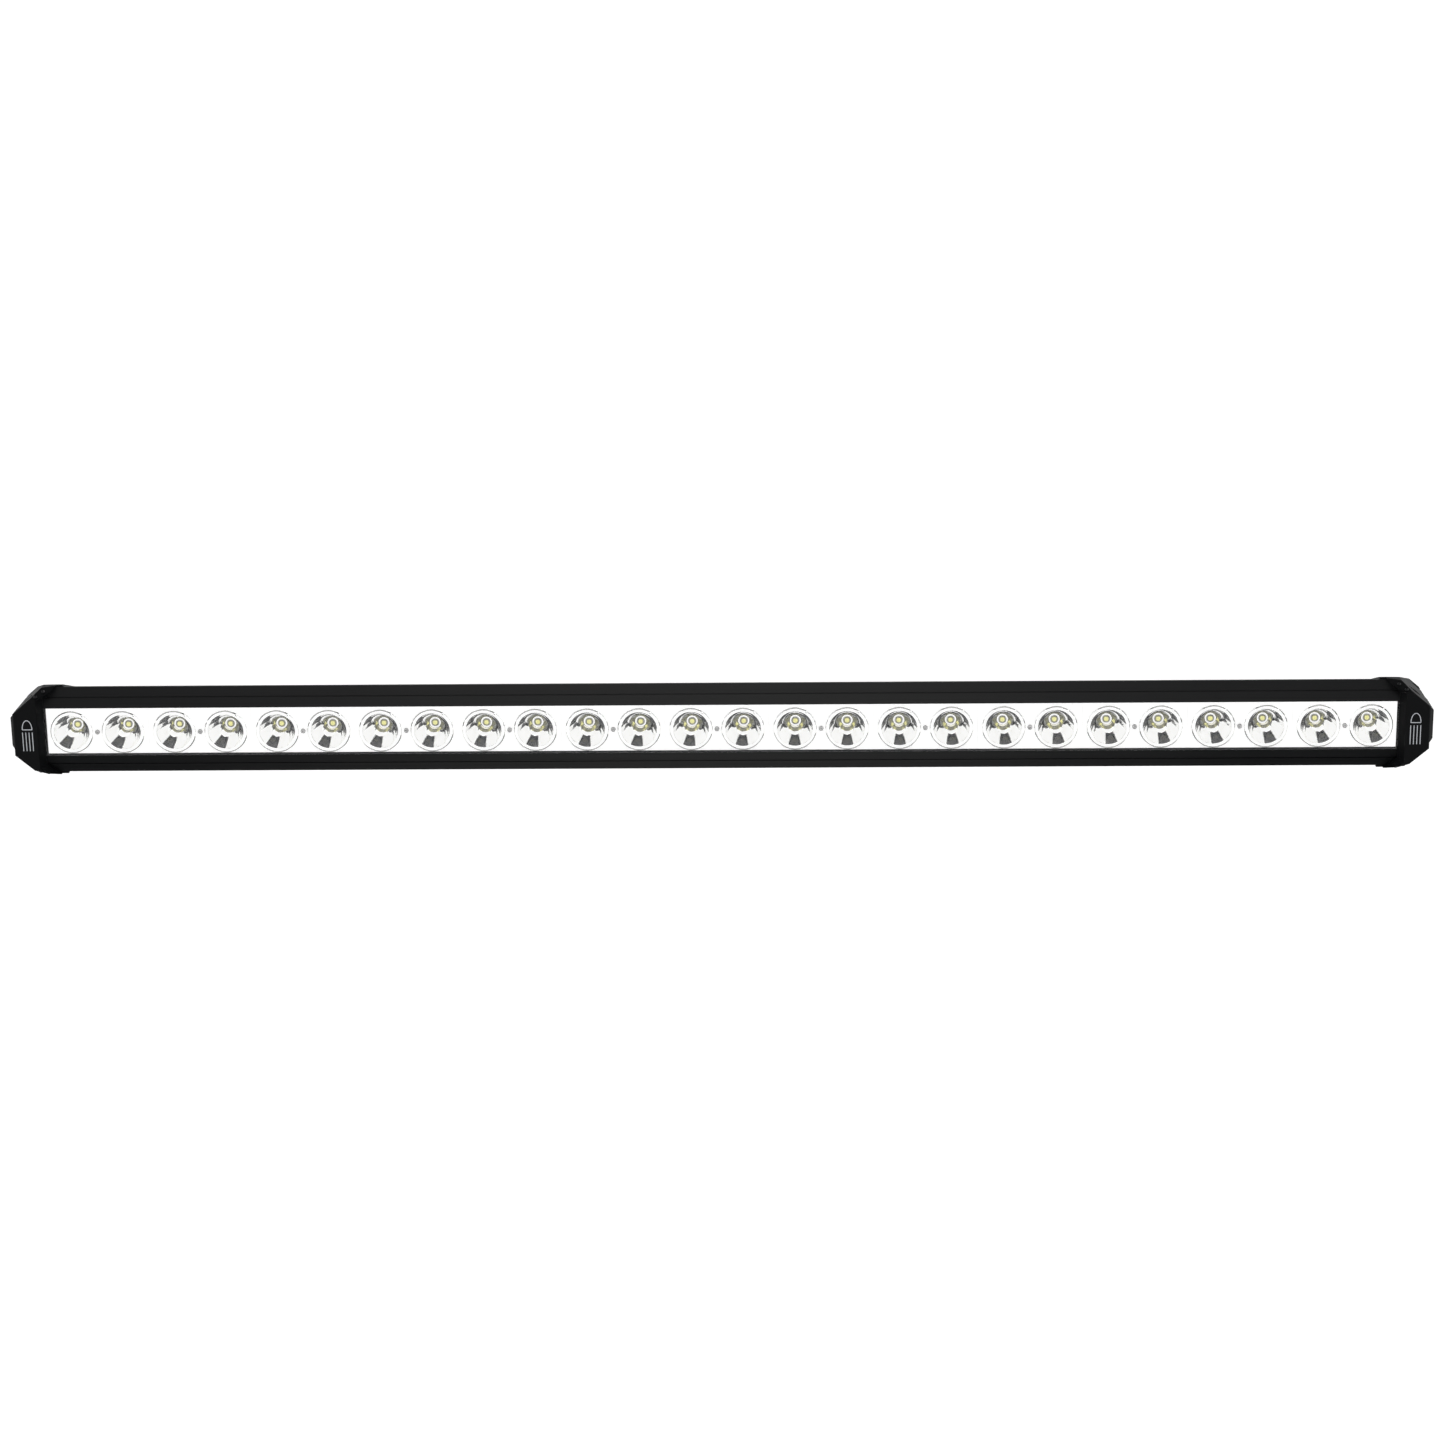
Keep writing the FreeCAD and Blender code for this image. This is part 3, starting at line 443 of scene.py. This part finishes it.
# ---- the mark printed on each cap ----
def strip(points, width):
    """Flat ribbon in the XZ plane along a list of (x, z) points, as (vertices, faces)."""
    vertices, faces = [], []
    last = len(points) - 1
    for i, (x, z) in enumerate(points):
        before, after = points[max(i - 1, 0)], points[min(i + 1, last)]
        along = Vector((after[0] - before[0], after[1] - before[1])).normalized() * (width / 2)
        vertices += [(x - along.y, 0, z + along.x), (x + along.y, 0, z - along.x)]
        if i:
            faces.append((2 * i - 2, 2 * i - 1, 2 * i + 1, 2 * i))
    return vertices, faces


def half_ellipse(base_z, radius_x, radius_z):
    """Points over the top of an ellipse whose middle is at (0, base_z)."""
    angles = [math.radians(180 * i / ARC_STEPS) for i in range(ARC_STEPS + 1)]
    return [(radius_x * math.cos(a), base_z + radius_z * math.sin(a)) for a in angles]


def beam_mark(name, centre, towards, ink):
    """Generic high-beam symbol: a D-shaped lamp with its rays, stood on its end."""
    half, top = MARK_WIDE / 2, MARK_HIGH / 2
    brow = top - MARK_HIGH * MARK_LAMP_SHARE
    strokes = [half_ellipse(brow, half, top - brow) + [(-half, brow), (half, brow)]]
    for i in range(MARK_RAYS):
        x = half * (2 * i / (MARK_RAYS - 1) - 1)
        strokes.append([(x, brow - MARK_HIGH * MARK_GAP_SHARE), (x, -top)])
    vertices, faces = [], []
    for stroke in strokes:
        some, sides = strip(stroke, MARK_LINE)
        faces += [tuple(index + len(vertices) for index in side) for side in sides]
        vertices += some
    mesh = bpy.data.meshes.new(name)
    mesh.from_pydata([(x * towards, y, z) for x, y, z in vertices], [], faces)
    mesh.materials.append(ink)
    mark = bpy.data.objects.new(name, mesh)
    bpy.context.scene.collection.objects.link(mark)
    mark.location = centre
    thick = mark.modifiers.new("ink", "SOLIDIFY")
    thick.thickness = MARK_LIFT
    thick.offset = 0.0
    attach(mark, "bar")


def add_marks():
    ink = printed_white()
    face_x = (HOUSING_HIGH.x + CAP_HIGH.x) / 2
    for name, side in (("beam_mark_left", -1), ("beam_mark_right", 1)):
        beam_mark(name, (side * face_x, CAP_LOW.y - MARK_LIFT / 2, MARK_MIDDLE), side, ink)


# ---- studio ----
def add_floor():
    bpy.ops.mesh.primitive_grid_add(x_subdivisions=GRID_CUTS, y_subdivisions=GRID_CUTS,
                                    size=2 * FLOOR_HALF, location=(0, 0, -FLOOR_DROP))
    floor = bpy.context.object
    floor.name = "floor"
    material, g, shader = new_material("floor_paper")
    fibre = g.noise(300, 3, 0.5)
    set_shader(g, shader, colour=g.tone(fibre, rgb(0.93, 0.93, 0.93), rgb(0.95, 0.95, 0.95)),
               rough=0.9, specular=0.1, glow=FLOOR_GLOW, glow_colour=rgb(1, 1, 1))
    floor.data.materials.append(material)


def add_sky():
    """White studio all round, with a dark zone in front of the bar where the camera stands, a
    brighter brow above that zone and a dark ceiling."""
    world = bpy.data.worlds.new("studio")
    bpy.context.scene.world = world
    world.use_nodes = True
    world.node_tree.nodes.clear()
    g = Graph(world.node_tree)
    way = g.node("ShaderNodeTexCoord").outputs["Generated"]
    x, y, z = g.node("ShaderNodeSeparateXYZ", {"Vector": way}).outputs
    ahead = g.math("MULTIPLY", y, -1.0)
    azimuth = g.math("MULTIPLY", g.math("ARCTAN2", x, ahead), 180 / math.pi)
    elevation = g.math("MULTIPLY", g.math("ARCSINE", z), 180 / math.pi)
    sideways = g.math("ABSOLUTE", azimuth)

    half_width = g.between(elevation, *FRONT_HALF, *FRONT_HALF_AT)
    inside = g.step(g.math("SUBTRACT", half_width, sideways), *FRONT_SIDE)
    above_bottom = g.step(elevation, *FRONT_BOTTOM)
    below_top = g.step(g.math("MULTIPLY", elevation, -1), -FRONT_TOP[1], -FRONT_TOP[0])
    front = g.math("MULTIPLY", g.math("MULTIPLY", above_bottom, below_top), inside)
    dark = g.math("MAXIMUM", front, g.step(elevation, *CEILING_DARK))
    studio = g.mix(dark, SKY_WHITE, SKY_DARK)

    brow = g.math("MULTIPLY", g.step(elevation, *BROW_RISE), g.step(sideways, BROW_HALF, 0.0))
    brighter = g.math("ADD", g.math("MULTIPLY", brow, BROW_BOOST), 1.0)
    strength = g.math("MULTIPLY", brighter, SKY_STRENGTH)
    background = g.node("ShaderNodeBackground", {"Color": studio, "Strength": strength})
    output = g.node("ShaderNodeOutputWorld")
    g.links.new(background.outputs["Background"], output.inputs["Surface"])


def add_overhead():
    """Large soft light above the bar, which reflections don't show."""
    light = bpy.data.lights.new("overhead", "AREA")
    light.shape = "RECTANGLE"
    light.size = light.size_y = 2 * CEILING_HALF
    light.energy = CEILING_WATTS
    made = bpy.data.objects.new("overhead", light)
    made.location = (0, 0, CEILING_HEIGHT)
    made.rotation_euler = Vector((0, 0, -CEILING_HEIGHT)).to_track_quat("-Z", "Y").to_euler()
    bpy.context.scene.collection.objects.link(made)
    made.visible_glossy = False


def add_flag():
    """Black card under the bar, seen only in reflections, which darkens those in its underside."""
    bpy.ops.mesh.primitive_grid_add(x_subdivisions=GRID_CUTS, y_subdivisions=GRID_CUTS, size=1.0,
                                    location=(0, (FLAG_FRONT + FLAG_BACK) / 2, -FLAG_DROP))
    flag = bpy.context.object
    flag.name = "flag"
    flag.scale = (FLAG_LENGTH, FLAG_BACK - FLAG_FRONT, 1)
    material, g, shader = new_material("flag_felt")
    felt = g.noise(500, 3, 0.6)
    set_shader(g, shader, colour=g.tone(felt, rgb(0.004, 0.004, 0.004), rgb(0.010, 0.010, 0.010)),
               rough=0.95, specular=0.02)
    flag.data.materials.append(material)
    flag.visible_camera = False
    flag.visible_diffuse = False
    flag.visible_transmission = False
    flag.visible_shadow = False


def add_camera():
    place = Vector((CAMERA_SIDE, -CAMERA_AWAY * math.cos(CAMERA_ELEVATION),
                    CAMERA_AWAY * math.sin(CAMERA_ELEVATION)))
    pitch = CAMERA_ELEVATION + CAMERA_EXTRA_PITCH
    forward = Vector((math.sin(CAMERA_YAW) * math.cos(pitch),
                      math.cos(CAMERA_YAW) * math.cos(pitch), -math.sin(pitch)))
    right = forward.cross(Vector((0, 0, 1))).normalized()
    up = right.cross(forward)
    right, up = (right * math.cos(CAMERA_ROLL) + up * math.sin(CAMERA_ROLL),
                 up * math.cos(CAMERA_ROLL) - right * math.sin(CAMERA_ROLL))
    data = bpy.data.cameras.new("camera")
    data.lens = CAMERA_LENS
    data.clip_start, data.clip_end = CAMERA_CLIP
    camera = bpy.data.objects.new("camera", data)
    turned = Matrix((right, up, -forward)).transposed().to_4x4()
    camera.matrix_world = Matrix.Translation(place) @ turned
    bpy.context.scene.collection.objects.link(camera)
    bpy.context.scene.camera = camera


def set_light_paths():
    """Colours as they are, and enough bounces for mirror cups behind a clear lens."""
    scene = bpy.context.scene
    scene.view_settings.view_transform = "Standard"
    scene.view_settings.look = "None"
    scene.cycles.max_bounces = 16
    scene.cycles.glossy_bounces = 10
    scene.cycles.transmission_bounces = 10
    scene.cycles.transparent_max_bounces = 12
    scene.cycles.caustics_reflective = True
    scene.cycles.caustics_refractive = True


finish_nodes()
add_marks()
add_floor()
add_sky()
add_overhead()
add_flag()
add_camera()
set_light_paths()
